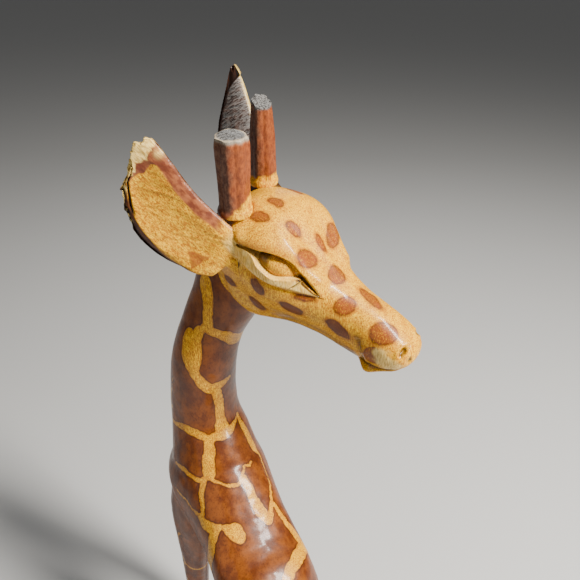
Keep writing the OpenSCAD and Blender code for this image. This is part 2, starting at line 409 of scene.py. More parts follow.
def carve_face(wood):
    """Cuts the eyes, brows, nostrils, mouth and jaw into the head."""
    local = head.inside(wood.points)
    normal = wood.normals() @ head.axes
    q = on_right(local)
    x, y, z = q.T
    side_on = step(0.15, 0.5, np.abs(normal[:, 1])) * step(4, 9, -y)
    # What faces down, on the head and not on the body under it
    below = step(0.0, 0.6, -normal[:, 2]) * step(-45, -35, z)
    lift = carve_eye(q, side_on)
    forehead = step(0.2, 0.7, normal[:, 2])
    gap, along = to_path(q, TEMPLE)
    lift -= 1.1 * bump(gap, 0, 3.4) * forehead * np.sin(math.pi * along)
    # Nose: a hollow for each nostril inside a low rim
    gap = from_nostril(local)
    lift += 0.35 * bump(gap, 2.6, 0.8) - 1.7 * bump(gap, 0.4, 1.1)
    lift -= 1.1 * bump(from_chips(local), 0, 1.7)
    for path, depth, width in ((MOUTH, 1.5, 0.7), (CHEEK_FOLD, 1.1, 1.4)):
        gap, along = to_path(q * [1, 0, 1], path)
        lift -= depth * bump(gap, 0, width) * step(0, 0.15, along)
    lift += 0.8 * bump(np.linalg.norm((q - MOUTH_CORNER) / [1, 1, 1.8], axis=1), 0, 2.2)
    # Jaw: a rounded edge, the swell below the cheek and the lower lip
    gap, along = to_path(q, JAW_EDGE)
    lift += 0.7 * bump(gap, 0, 2.4) * np.sin(math.pi * np.clip(along, 0.02, 0.98)) ** 0.5
    lift += 3.2 * bump(x, 14, 13) * below * step(0, -10, z) * step(-8, 2, x)
    lift += 3.4 * bump(x, 80, 4.5) * below * (1 - step(0, 3.5, z - curve_at(LIP, x)))
    # Glue and wood fill in the corner between the near horn and the near ear
    lift += 2.2 * bump(np.linalg.norm(local - CORNER, axis=1), 0, 4.5)
    # Knife work: flats and small nicks
    lift += 0.2 * noise(local, (9, 9, 9), 3) + 0.08 * noise(local, (3, 3, 3), 4)
    wood.points += (normal @ head.axes.T) * lift[:, None]


def carve_hooves(wood):
    """Cuts the cleft in the front of each hoof and the ledge above it."""
    p = wood.points
    normal = wood.normals()
    ledge = bump(p[:, 2], HOOF, 1.1) * step(0.3, 0.8, np.hypot(normal[:, 0], normal[:, 1]))
    across = np.abs(np.abs(p[:, 1] - MIDDLE_Y) - LEG_OUT)
    cleft = bump(across, 0, 0.9) * (p[:, 2] < HOOF - 0.5) * step(0.3, 0.8, -normal[:, 0])
    lift = -0.7 * ledge - 1.5 * cleft
    wood.points += normal * lift[:, None]


# ---- Painted pattern ------------------------------------------------------------------
# Lines between the patches on the neck and back: x, y, z and half the line's width

PAINTED_LINES = [
    [(-21, -19, 378, 4.6), (-19, -18, 371, 3.8), (-18, -19, 363, 2.8), (-18, -20, 352, 2.6)],
    [(-19, -21, 352, 2.6), (-16, -16, 349, 2.4), (-15, -11, 346, 3.4), (-17, -5, 341, 3.8),
     (-19, 4, 338, 3.4)],
    [(-27, -27, 347, 3), (-25, -28, 341, 6.2), (-24, -29, 334, 6.4), (-23, -29, 328, 4.2)],
    [(-22, -23, 350, 2.7), (-23, -25, 344, 2.7)],
    [(-24, -29, 327, 2.8), (-22, -27, 320, 2.8), (-21, -24, 314, 3.4), (-20, -20, 310, 3.7),
     (-20, -15, 311, 2.9), (-21, -8, 313, 1.2)],
    [(-21, -17, 307, 2.9), (-22, -15, 296, 2.6), (-22, -15, 286, 2.9), (-21, -15, 278, 4.3)],
    [(-20, -22, 275, 1.8), (-19, -16, 275, 3.7), (-20, -10, 276, 1.9), (-25, -4, 278, 0.9)],
    [(-48, -37, 275, 1), (-39, -37, 277, 1.6), (-32, -34, 278, 2.5), (-26, -30, 277, 2.5),
     (-22, -26, 275, 2.1), (-19, -22, 274, 1.8)],
    [(-19, -25, 272, 3.1), (-16, -26, 268, 3.4), (-14, -28, 263, 3.7), (-11, -29, 257, 3.7)],
    [(-27, -3, 279, 1.3), (-23, -1, 273, 2.2), (-20, 1, 266, 2.9), (-16, 3, 258, 2.9), (-15, 4, 254, 1.3)],
    [(-8, -3, 256, 0.6), (-6, -5, 256, 0.8), (-6, -9, 257, 0.6), (-2, -12, 254, 0.9)],
    [(-8, -29, 255, 1.2), (-4, -26, 254, 0.8), (0, -21, 253, 0.8), (1, -16, 252, 0.9), (-1, -12, 254, 1.6)],
    [(-1, -12, 253, 1.9), (4, -11, 249, 2.5), (8, -11, 245, 2.8), (14, -9, 239, 3.1), (18, -6, 234, 3.2)],
    [(-11, -33, 254, 1.9), (-8, -36, 248, 1.9), (-4, -38, 244, 1.6), (-1, -39, 238, 1.6)],
    [(-2, -40, 236, 1.9), (2, -40, 234, 3.2), (9, -37, 235, 3.1), (11, -33, 237, 1.2)],
    [(13, -31, 237, 1.9), (17, -27, 235, 4.6), (20, -25, 232, 3.1)],
    [(10, -37, 234, 3.1), (12, -40, 228, 2.8), (14, -42, 220, 3.2), (15, -43, 208, 2.6), (14, -43, 196, 2)],
    [(12, 1, 237, 1.3), (16, 3, 233, 1.6), (21, 5, 226, 1.9), (25, 8, 221, 2.6), (31, 10, 216, 3.3),
     (36, 15, 208, 2.5)],
    [(33, 9, 216, 3.9), (39, 3, 219, 3.8), (43, -4, 220, 3.2), (47, -9, 218, 3.1), (50, -14, 214, 2.4)],
    [(-35, -42, 251, 1), (-25, -40, 253, 1.6), (-18, -37, 252, 0.9), (-11, -34, 253, 1.3)],
    [(-15, 5, 253, 1), (-7, 5, 248, 0.8), (1, 4, 243, 0.8), (9, 1, 240, 1.1), (18, -4, 234, 1.9)],
    [(-39, -36, 312, 0.6), (-46, -36, 294, 0.6), (-48, -37, 276, 1)],
    [(-28, -45, 237, 0.6), (-18, -44, 237, 0.8), (-10, -42, 236, 0.8), (-3, -41, 236, 1.3)],
]
# Spots on the head, in its own frame: the middle, half the length and width, and the angle of
# the long way from the nose's line. A spot is on both sides unless its middle is near y = 0.
HEAD_SPOTS = [
    (4.5, -3, 41, 3.6, 3, 0), (4.7, -14, 38, 4.6, 3.2, 10), (19, -8.8, 39.6, 4.6, 3, 10),
    (31, -11, 32, 5, 4.2, 60), (44.4, -2.5, 27, 5, 4.6, 40),
    (55.6, -9.3, 22, 5, 4.4, 40), (62.6, 1.4, 24.8, 7, 3.2, -8), (77, -8, 22, 6, 5.2, 30),
    (59.3, -12.9, 10.6, 6.8, 3.4, -14), (37.3, -19.9, 9.5, 6, 3, -12), (40, -17.7, 18.4, 4.6, 1.8, 6),
    (20.2, -25.5, 12.9, 4.8, 3, -38), (22, -20, -1, 5.6, 3, -30), (78, -12.8, 10, 4, 5.4, 0),
    (70, -12, -2, 3.5, 2.4, 0), (5, -22, 0, 4.5, 3.2, 30), (-8, -16, 10, 4, 3.4, 0),
    (-10, -6, 26, 4.4, 3.6, 40), (31, 1, 37, 4.6, 2.6, 0),
]
# Path along the middle of the worn patch on the muzzle, in the head's frame
BARE_PATCH = [(81.5, -12.2, 13), (88, -11.2, 11)]


def spread(lines, gap=1.0):
    """Points close together along lines of (x, y, z, half width)."""
    out = []
    for line in lines:
        line = np.array(line, float)
        for a, b in zip(line[:-1], line[1:]):
            count = max(2, int(np.linalg.norm(b[:3] - a[:3]) / gap))
            out += [a + (b - a) * k / count for k in range(count + 1)]
    return np.array(out)


def beside_lines(points):
    """Distance from each point to the edge of the nearest painted line: below 0 in it."""
    marks = spread(PAINTED_LINES)
    surface = KDTree(len(points))
    for i, p in enumerate(points):
        surface.insert(p, i)
    surface.balance()
    field = np.full(len(points), 30.0)
    for mark in marks:
        at = np.array(surface.find(Vector(mark[:3]))[0])
        near = np.array([found[1] for found in surface.find_range(at, 10)])
        gap = np.linalg.norm(points[near] - at, axis=1) - mark[3]
        field[near] = np.minimum(field[near], gap)
    return field


def even_seeds(points, spacing):
    """Indices of points about a spacing apart: the highest, then the one farthest from those, and so on."""
    chosen = [int(np.argmax(points[:, 2]))]
    nearest = np.linalg.norm(points - points[chosen[0]], axis=1) / spacing
    while nearest.max() > 1:
        chosen.append(int(np.argmax(nearest)))
        gap = np.linalg.norm(points - points[chosen[-1]], axis=1) / spacing
        nearest = np.minimum(nearest, gap)
    return chosen


def cell_pattern(points):
    """Distance from each point to the line between two patches of an even pattern."""
    coarse = points[:: 9]
    legs = 1 - step(60, 190, coarse[:, 2])
    seeds = coarse[even_seeds(coarse, 29 - 13 * legs)]
    wavy = points + 1.6 * wobble(points, 9, 11)
    first = np.full(len(points), 1e9)
    second = first.copy()
    for seed in seeds:
        gap = np.linalg.norm(wavy - seed, axis=1)
        second = np.minimum(second, np.maximum(gap, first))
        first = np.minimum(first, gap)
    return (second - first) / 2


def head_spots(points):
    """How far each point is inside a spot on the head: above 0 in it, in millimetres."""
    local = head.inside(points)
    field = np.full(len(points), -20.0)
    wavy = local + 0.7 * wobble(local, 4, 21)
    for x, y, z, half_long, half_wide, angle in HEAD_SPOTS:
        on_top = abs(y) < 9.5
        for flip in (1,) if on_top else (1, -1):
            at = np.array([x, flip * y, z])
            rise = 1.2 * step(24, 34, abs(z))
            out = np.array([0, math.cos(rise) * np.sign(at[1]), math.sin(rise)])
            if on_top:
                out = np.array([0.2, 0.03 * y, 1.0])
            out /= np.linalg.norm(out)
            ahead = np.array([1, 0, 0]) - out * out[0]
            ahead /= np.linalg.norm(ahead)
            aside = np.cross(out, ahead)
            if not on_top:
                aside *= np.sign(aside[2])
            turn = math.radians(angle)
            long_way = ahead * math.cos(turn) + aside * math.sin(turn)
            short_way = np.cross(out, long_way)
            d = wavy - at
            across = np.hypot(d @ long_way / half_long, d @ short_way / half_wide)
            gap = (1 - across) * half_wide - np.maximum(np.abs(d @ out) - 7, 0)
            field = np.maximum(field, gap)
    return field


def face_or_neck(points):
    """1 on the head and 0 on the neck."""
    x, _, z = head.inside(points).T
    return step(-1, 1, z - curve_at(JAW_LINE, x)) * step(-16, -13, x)


def paint_figure(wood):
    """Notes where the patches, the bare wood, the painted shade in the cuts and under the jaw, and the
    hooves are.
    """
    p = wood.points
    local = head.inside(p)
    q = on_right(local)
    on_face = face_or_neck(p)
    lines = beside_lines(p)
    # The placed lines cover the left side and the back of the neck and withers, cells the rest
    around = np.degrees(np.arctan2(NECK[1] - p[:, 1], p[:, 0] - NECK[0]))
    drawn = step(-75, -55, around) * (1 - step(100, 118, around)) * step(186, 206, p[:, 2])
    cells = cell_pattern(p) - (1.0 + 0.5 * noise(p, (7, 7, 7), 14))
    network = np.minimum(lines, cells + 30 * drawn)
    network += 0.4 * noise(p, (5, 5, 5), 15) + 0.12 * noise(p, (1.5, 1.5, 1.5), 16)
    spots = np.full(len(p), -6.0)
    spots[on_face > 0] = head_spots(p[on_face > 0])
    spots += 0.25 * noise(local, (1.5, 1.5, 1.5), 17)
    wood.note("patch", np.clip(network * (1 - on_face) + spots * on_face, -6, 6))
    wood.note("face", on_face)
    # Painted shade: spots low on the face and behind the muzzle are made browner
    wood.note("low_spot_shade", step(20, 12, local[:, 2]) * step(68, 60, local[:, 0]))

    x, y, z = q.T
    side = local[:, 1] < 0
    brow, top, foot = (curve_at(c, x) for c in (BROW_EDGE, LID_TOP, LID_FOOT))
    reach = step(-4, 1, x) * (1 - step(43, 46, x)) * step(5, 9, -y) * on_face
    lid = step(-0.3, 0.4, z - foot) * step(-0.4, 0.2, top - z) * reach
    gap, _ = to_path(q, BARE_PATCH)
    raw = 0.75 * (1 - step(3.0, 5.0, gap + 1.3 * noise(local, (2.6, 2.6, 2.6), 18))) * side
    root = 0.7 * bump(np.linalg.norm((local - EAR_ROOT) / [1, 2, 1], axis=1), 0, 4.5) * on_face
    lid = lid * (0.6 + 0.3 * noise(local, (2, 2, 2), 19))
    wood.note("bare_wood_and_highlight", np.clip(np.maximum.reduce([lid, raw, root]), 0, 1))

    outer = step(5, 9, -y) * on_face
    # A red-brown band just above the lower edge of each brow
    brow_band = bump(z, brow + 1.6, 1.9) * step(-2, 2, x) * (1 - step(22, 36, x)) * outer
    wood.note("brow_band", brow_band * (0.7 + 0.3 * noise(local, (4, 2, 2), 27)))

    # Painted shade, noted as dark: the walls and back of the eye's slot, the crease under the brow, the
    # lid's split, the mouth, the cheek fold, the nostrils, the chips and the underside of the jaw; the knot
    # is dark wood
    slot = step(0.1, 0.7, brow - z) * step(0, 0.4, z - top) * reach
    walls = slot * step(0.75, 1.0, round_eye(x, z))
    shade = 0.75 * slot * (1 - step(18, 21.5, x + 0.5 * (z - 27)))
    crease = bump(z, brow - 0.25, 0.32) * step(-1, 3, x) * (1 - step(45, 48, x)) * outer
    split = 0.9 * bump(x, LID_SPLIT + 0.5 * (z - 22), 0.4) * (z > foot + 2) * (z < top + 0.5) * reach
    mouth, _ = to_path(q * [1, 0, 1], MOUTH)
    fold, _ = to_path(q * [1, 0, 1], CHEEK_FOLD)
    knot = np.linalg.norm((local - KNOT) / [1.1, 3, 2.4], axis=1) + 0.4 * noise(local, (1, 1, 1), 20)
    # Painted shade on what faces down under the jaw
    under = step(0.05, 0.5, -wood.normals() @ head.axes[:, 2]) * (1 - step(2, 5, z)) * step(22, 40, x)
    dark = np.maximum.reduce([
        walls, shade, crease, split, 0.9 * bump(mouth, 0, 0.6), 0.6 * bump(fold, 0, 1.2),
        0.85 * bump(from_nostril(local), 0.9, 0.7), 0.9 * (1 - step(0.8, 2.2, from_chips(local))),
        0.9 * (1 - step(0.5, 1.3, knot)), 0.75 * under * (1 - step(71, 75, x)) * on_face,
    ])
    wood.note("dark", np.clip(dark, 0, 1))
    wood.note("hoof", 1 - step(HOOF - 0.7, HOOF + 0.3, p[:, 2] + 0.5 * noise(p, (3, 3, 3), 24)))


def make_figure():
    """Head, neck, body and legs, left as the CAD has them where the other pieces are fitted."""
    wood = Carving("carved_figure", "giraffe_figure", SPACING["figure"])
    fitted = ["horn_right", "horn_left", "ear_right", "ear_left", "tail"]
    snug = near_nodes(wood.points, fitted, 5)
    wood.smooth(26, 0.5 - 0.42 * snug)
    wood.smooth(50, 0.5 * (1 - snug) * (1 - step(-20, -12, head.inside(wood.points)[:, 0])))
    x, _, z = head.inside(wood.points).T
    wood.split((x > FINE_ABOVE[0][0]) & (z > curve_at(FINE_ABOVE, x)))
    x, y, z = head.inside(wood.points).T
    near_eye = (np.abs(x - EYE_BOX[0]) < EYE_BOX_HALF[0]) & (np.abs(z - EYE_BOX[1]) < EYE_BOX_HALF[1])
    wood.split(near_eye & (np.abs(y) > 10))
    on_head = step(-8, -4, head.inside(wood.points)[:, 0])
    wood.smooth(3, 0.5 * on_head)
    carve_face(wood)
    carve_hooves(wood)
    p = wood.points
    work = 0.16 * noise(p, (14, 14, 30), 1) + 0.05 * noise(p, (4, 4, 9), 2)
    wood.points = p + wood.normals() * (work * (1 - face_or_neck(p)))[:, None]
    wood.points[:, 2] = np.maximum(wood.points[:, 2], 0)
    paint_figure(wood)
    wood.done(figure_paint())


# ---- Horns, ears and tail -------------------------------------------------------------


def ear_edges(side, z):
    """The upper and lower edges of an ear at that distance out along it."""
    return EAR_WIDTHS[side] * curve_at(EAR_UPPER, z), EAR_WIDTHS[side] * curve_at(EAR_LOWER, z)


def flats(local, sides, depth, start):
    """How far a knife's flats lie below a round surface, for that many sides round z."""
    angle = np.arctan2(local[:, 1], local[:, 0]) + start
    turn = np.mod(angle, 2 * math.pi / sides) - math.pi / sides
    return depth * (1 - np.abs(turn) * sides / math.pi)


def make_horn(side):
    """A whittled horn: knife flats round it and a worn, sawn top."""
    top, longer, sides, slope, tilt, paint_from, rise = HORN_CUTS[side]
    wood = Carving(f"horn_{side}", f"giraffe_horn_{side}", SPACING["horn"])
    wood.smooth(8)
    place = horn_places[side]
    local = place.inside(wood.points)
    across = place.axes.T @ (np.array([1, 1.7, 0]) / 2)
    nearer = place.axes.T @ (np.array([1.7, -1, 0]) / 2)
    r = np.hypot(local[:, 0], local[:, 1])
    out = local * [1, 1, 0] / np.maximum(r, 0.1)[:, None]
    local[:, 2] += longer * step(0.3 * top, top, local[:, 2])
    foot = 1 - step(1.0, 5.0, local[:, 2])
    above = (1 - foot) * (1 - step(top - 1.5, top, local[:, 2]))
    cut = flats(local, sides, 0.7, 0.3)
    cut += 0.2 * noise(local, (3.5, 3.5, 6), 31) + 0.08 * noise(local, (1.2, 1.2, 2), 32)
    local = local - out * (cut * above - 0.3 * foot)[:, None]
    to_right = local @ across
    to_front = local * [1, 1, 0] @ nearer
    sawn = top - 0.6 + slope * (to_right + 5) - tilt * (to_front + 4)
    sawn += 0.5 * noise(local * [1, 1, 0], (2.5, 2.5, 2), 33)
    rim = np.clip(r - 4.5, 0, 4) * 0.2
    local[:, 2] = np.minimum(local[:, 2], sawn - rim)
    wood.points = place.outside(local)
    ragged = noise(local, (2, 2, 2), 34) + 0.5 * noise(local, (0.8, 0.8, 0.8), 35)
    wood.note("worn", step(-1.5, -0.3, local[:, 2] - sawn + rim + 0.5 * ragged))
    wood.note("rim", bump(r, 6.6, 0.7) * step(-2.4, -0.6, local[:, 2] - sawn + rim + 0.4 * ragged))
    paint_line = paint_from + rise * np.clip(to_right, -4, 8)
    wood.note("brown", step(-1.0, 1.0, local[:, 2] - paint_line + 0.9 * ragged))
    # Painted shade on the horn's left side as the camera sees it, with grey scuffs mixed in
    wood.note("scuff_and_shade", step(1.5, -2.5, to_right + ragged) * above)
    wood.done(horn_paint(side))


def make_ear_right():
    """The broken ear: hollow in front, with splinters where its tip was."""
    wood = Carving("ear_right", "giraffe_ear_right", SPACING["ear"])
    wood.smooth(5)
    place = ear_places["right"]
    local = place.inside(wood.points)
    x, y, z = local.T
    upper, lower = ear_edges("right", z)
    front = step(-0.5, 0.8, y)
    fibre = noise(local, (0.8, 0.8, 30), 42)
    coarse = noise(local, (2.6, 2.2, 9), 43)
    # A flat band along the upper edge, the hollow beside it, and the lower edge cut back
    band = 6.0 + 0.3 * coarse
    slant = 0.2 * np.clip(band - (x - upper), 0, 7)
    middle = np.clip((x - upper - band) / (lower - upper - band), 0, 1)
    dish = 1.3 * np.sin(math.pi * middle) * (1 - step(50, 60, z))
    cut_back = 0.55 * np.clip(x - lower + 4.5, 0, 5) * step(8, 22, z)
    strokes = 0.16 * noise(local @ turned("y", 35), (1.4, 3, 7), 41)
    y = y - front * step(4, 16, z) * (slant + dish + cut_back) + strokes * np.sign(y)
    # The break: pale wood standing up at its upper end, and a strip torn off the lower edge
    end = 59.5 + 5.5 * bump(x, 0, 6) + 0.7 * fibre + 1.8 * coarse - 0.1 * np.clip(x, 0, 30)
    z = np.where(z > 55, 55 + (z - 55) * (end - 55) / 7, z)
    torn = bump(x, lower - 0.5, 3.4) * step(36, 44, z)
    x = x - torn * (1.0 + 1.3 * fibre)
    y = y + torn * 0.7 * noise(local, (1, 1, 12), 44)
    crack = bump(x, lower - 5 + 0.6 * coarse, 0.6) * step(41, 47, z) * front
    y = y - 1.6 * crack
    foot = 1 - step(5, 13, z)
    x = x + foot * np.sign(x - 5) * 1.2
    y = y + foot * np.sign(y) * 1.2
    wood.points = place.outside(np.stack([x, y, z], axis=1))
    # Bare wood: the break, the torn strip and a collar at the foot; at one corner a painted highlight in
    # pale wood colour
    from_top = end - z + 1.2 * coarse
    raw = 1 - step(0.9, 2.0, from_top - 4.2 * bump(x, -0.5, 6))
    raw = 0.85 * np.maximum(raw, step(0.3, 0.8, torn) * step(-0.1, 0.4, fibre))
    # A painted highlight in pale wood colour at the corner below the break
    corner = 0.75 * bump(x, -5.5, 1.8) * bump(z, 55.5, 1.8)
    collar = 0.8 * foot * step(3, 0.5, x)
    wood.note("bare_wood_and_highlight", np.clip(np.maximum.reduce([raw, corner, collar]), 0, 1))
    # Brown paint: the flat band, all of the far end, the back and the lower edge; the band and the far end
    # carry a painted sheen
    band = band + 30 * step(52, 58, z + 1.5 * coarse)
    rim = step(-0.7, 0.5, band + 0.6 * coarse - (x - upper)) * step(11, 18, z + 0.5 * x)
    back = 1 - step(-0.8, 0.4, y)
    width = 1.6 + 2.8 * step(14, 34, z)
    edge = step(-0.5, 0.7, x - lower + width + 0.7 * coarse) * step(6, 12, z)
    # A painted sheen on the brown band and the far end
    wood.note("sheen", rim * front)
    wood.note("brown", np.clip(np.maximum(back * step(6, 12, z), edge), 0, 1))
    spot = np.maximum(np.abs(x - 17) / 3.6 + (z - 11.5) / 5, (11.5 - z) / 3.6) + 0.15 * coarse
    wood.note("spot", (1 - step(0.75, 1.05, spot)) * front)
    # Dark: painted shade in the crack, and dark brown paint along the lower edge and the back
    wood.note("dark", np.clip(crack + 0.6 * edge + 0.5 * back * step(12, 26, z), 0, 1))
    wood.note("grey", np.zeros(len(z)))
    wood.done(ear_paint("right"))


def make_ear_left():
    """The whole ear, with its flat face rasped down to grey wood."""
    wood = Carving("ear_left", "giraffe_ear_left", SPACING["ear"])
    wood.smooth(5)
    place = ear_places["left"]
    local = place.inside(wood.points)
    x, y, z = local.T
    upper, lower = ear_edges("left", z)
    facing = y * np.sign(place.axes[:, 1] @ (np.array(CAMERA_AT) - place.origin))
    face = step(0.0, 0.8, facing)
    # The face is cut flat as far as a slanted edge, which runs to the lower side of the ear
    slant_edge = lower - 5.4 - 1.2 * step(50, 62, z) - 9 * step(62, 70, z)
    strokes = noise(local @ turned("y", -12), (7, 3, 0.9), 51)
    away = np.clip(x - slant_edge, 0, 6)
    foot = 1 - step(5, 13, z)
    y = y - np.sign(y) * face * (0.5 * away + 0.3 * strokes * step(16, 22, z)) + foot * np.sign(y) * 1.2
    x = x + foot * np.sign(x - 4)
    wood.points = place.outside(np.stack([x, y, z], axis=1))
    ragged = noise(local, (2, 2, 4), 52)
    rasped = face * step(0.5, -0.5, x - slant_edge + 0.5 * ragged) * step(14, 24, z)
    wood.note("grey", rasped * (0.85 + 0.15 * strokes))
    wood.note("brown", step(6, 12, z))
    wood.note("sheen", np.zeros(len(z)))
    wood.note("spot", np.zeros(len(z)))
    # A painted highlight in pale wood colour along the upper edge
    wood.note("bare_wood_and_highlight", 0.7 * bump(x, upper, 0.55) * step(24, 34, z))
    wood.note("dark", 0.88 * (1 - rasped))
    wood.done(ear_paint("left"))


def make_tail():
    """A thin tail with combed grooves in its tuft."""
    wood = Carving("tail", "giraffe_tail", SPACING["tail"])
    wood.smooth(8)
    p = wood.points
    normal = wood.normals()
    tuft_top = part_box("tail")[0][2] / MM + TUFT
    tuft = 1 - step(tuft_top, tuft_top + 4, p[:, 2])
    middle = p[p[:, 2] < tuft_top].mean(axis=0)
    angle = np.arctan2(p[:, 1] - middle[1], p[:, 0] - middle[0])
    comb = np.abs(np.sin(6 * angle + 0.05 * p[:, 2] + 0.8 * noise(p, (3, 3, 12), 61)))
    wrap = bump(p[:, 2], tuft_top + 2, 1.0)
    lift = tuft * (0.9 * comb - 0.9) - 0.5 * wrap + 0.18 * noise(p, (2.5, 2.5, 7), 62)
    wood.points = p + normal * lift[:, None]
    wood.note("tuft", tuft)
    wood.done(tail_paint())


# ---- Materials ------------------------------------------------------------------------


class Paint:
    """A procedural material, put together node by node."""

    def __init__(self, name, coat, coat_roughness, place=None):
        self.material = bpy.data.materials.new(name)
        self.material.use_nodes = True
        self.tree = self.material.node_tree
        self.shader = self.tree.nodes["Principled BSDF"]
        self.shader.inputs["Coat Weight"].default_value = coat
        self.shader.inputs["Coat Roughness"].default_value = coat_roughness
        self.shader.inputs["Coat IOR"].default_value = 1.4
        self.shader.inputs["Specular IOR Level"].default_value = 0.2
        self.where = self.tree.nodes.new("ShaderNodeTexCoord").outputs["Object"]
        self.place = place or Place((0, 0, 0), np.eye(3))

    def put(self, socket, value):
        if isinstance(value, bpy.types.NodeSocket):
            self.tree.links.new(value, socket)
        elif hasattr(value, "__len__") and len(value) == 3 and socket.type == "RGBA":
            socket.default_value = (*value, 1)
        else:
            socket.default_value = value

    def field(self, name):
        """The numbers that a carving noted under that name."""
        node = self.tree.nodes.new("ShaderNodeAttribute")
        node.attribute_name = name
        return node.outputs["Fac"]

    def grain(self, size, detail=3, roughness=0.55):
        """Noise with lumps of that size, in millimetres along the axes of the paint's place."""
        place = self.tree.nodes.new("ShaderNodeMapping")
        self.put(place.inputs["Vector"], self.where)
        place.vector_type = "TEXTURE"
        place.inputs["Location"].default_value = self.place.origin * MM
        place.inputs["Rotation"].default_value = Matrix(self.place.axes).to_euler()
        place.inputs["Scale"].default_value = [s * MM for s in size]
        node = self.tree.nodes.new("ShaderNodeTexNoise")
        self.put(node.inputs["Vector"], place.outputs["Vector"])
        node.inputs["Scale"].default_value = 1
        node.inputs["Detail"].default_value = detail
        node.inputs["Roughness"].default_value = roughness
        return node.outputs["Fac"]

    def range(self, value, low, high, out_low=0.0, out_high=1.0):
        """A smooth change from out_low where the value is low to out_high where it is high."""
        node = self.tree.nodes.new("ShaderNodeMapRange")
        node.interpolation_type = "SMOOTHSTEP"
        for name, given in (("Value", value), ("From Min", low), ("From Max", high)):
            self.put(node.inputs[name], given)
        node.inputs["To Min"].default_value = out_low
        node.inputs["To Max"].default_value = out_high
        return node.outputs["Result"]

    def calc(self, operation, a, b=0.0):
        node = self.tree.nodes.new("ShaderNodeMath")
        node.operation = operation
        node.use_clamp = operation in ("MULTIPLY", "ADD", "SUBTRACT")
        self.put(node.inputs[0], a)
        self.put(node.inputs[1], b)
        return node.outputs[0]

    def mix(self, share, a, b, blend="MIX"):
        node = self.tree.nodes.new("ShaderNodeMix")
        node.data_type = "RGBA"
        node.blend_type = blend
        self.put(node.inputs[0], share)
        self.put(node.inputs[6], a)
        self.put(node.inputs[7], b)
        return node.outputs[2]

    def relief(self, height, depth):
        """Bump from a height of 0 to 1 that stands for that depth in millimetres."""
        node = self.tree.nodes.new("ShaderNodeBump")
        node.inputs["Distance"].default_value = depth * MM
        self.put(node.inputs["Height"], height)
        self.put(self.shader.inputs["Normal"], node.outputs["Normal"])

    def finish(self, color, roughness):
        self.put(self.shader.inputs["Base Color"], color)
        self.put(self.shader.inputs["Roughness"], roughness)
        return self.material


OCHRE, OCHRE_DEEP, OCHRE_PALE = (0.82, 0.40, 0.002), (0.40, 0.125, 0.002), (1.0, 0.64, 0.008)
FLECK = (0.20, 0.055, 0.002)
BROWN, BROWN_RED, BURNT = (0.10, 0.021, 0.002), (0.21, 0.055, 0.005), (0.016, 0.004, 0.001)
SPOT_RED = (0.25, 0.058, 0.010)
RAW_WOOD, RAW_SHADE = (0.95, 0.70, 0.22), (0.46, 0.26, 0.05)
GREY_WOOD, GREY_DARK = (0.20, 0.195, 0.185), (0.022, 0.02, 0.019)
HORN_BROWN, HORN_RED, HORN_RIM = (0.13, 0.028, 0.009), (0.27, 0.068, 0.016), (0.48, 0.38, 0.25)
SCUFF_SHADE_DARK, SCUFF_SHADE_PALE = (0.045, 0.018, 0.011), (0.12, 0.07, 0.045)
SHEEN_DARK, SHEEN_PALE = (0.12, 0.028, 0.012), (0.27, 0.085, 0.03)


def ochre_wood(paint, along=(0.4, 0.4, 3)):
    """Ochre stain over wood, mottled, with fine pores along the grain."""
    mottle = paint.grain((3.2, 3.2, 5), 5, 0.6)
    fine = paint.grain(along, 4, 0.7)
    speck = paint.grain((0.6, 0.6, 0.6), 3, 0.7)
    color = paint.mix(paint.range(mottle, 0.38, 0.68, 0, 0.6), OCHRE, OCHRE_DEEP)
    color = paint.mix(paint.range(fine, 0.48, 0.60, 0, 0.8), color, OCHRE_DEEP)
    color = paint.mix(paint.range(speck, 0.51, 0.62, 0, 0.85), color, FLECK)
    return paint.mix(paint.range(fine, 0.48, 0.36, 0, 0.7), color, OCHRE_PALE), fine


def raw_wood(paint, along=(0.5, 0.5, 5)):
    """Pale unpainted wood with its grain."""
    fine = paint.grain(along, 4, 0.7)
    return paint.mix(paint.range(fine, 0.42, 0.64), RAW_WOOD, RAW_SHADE)


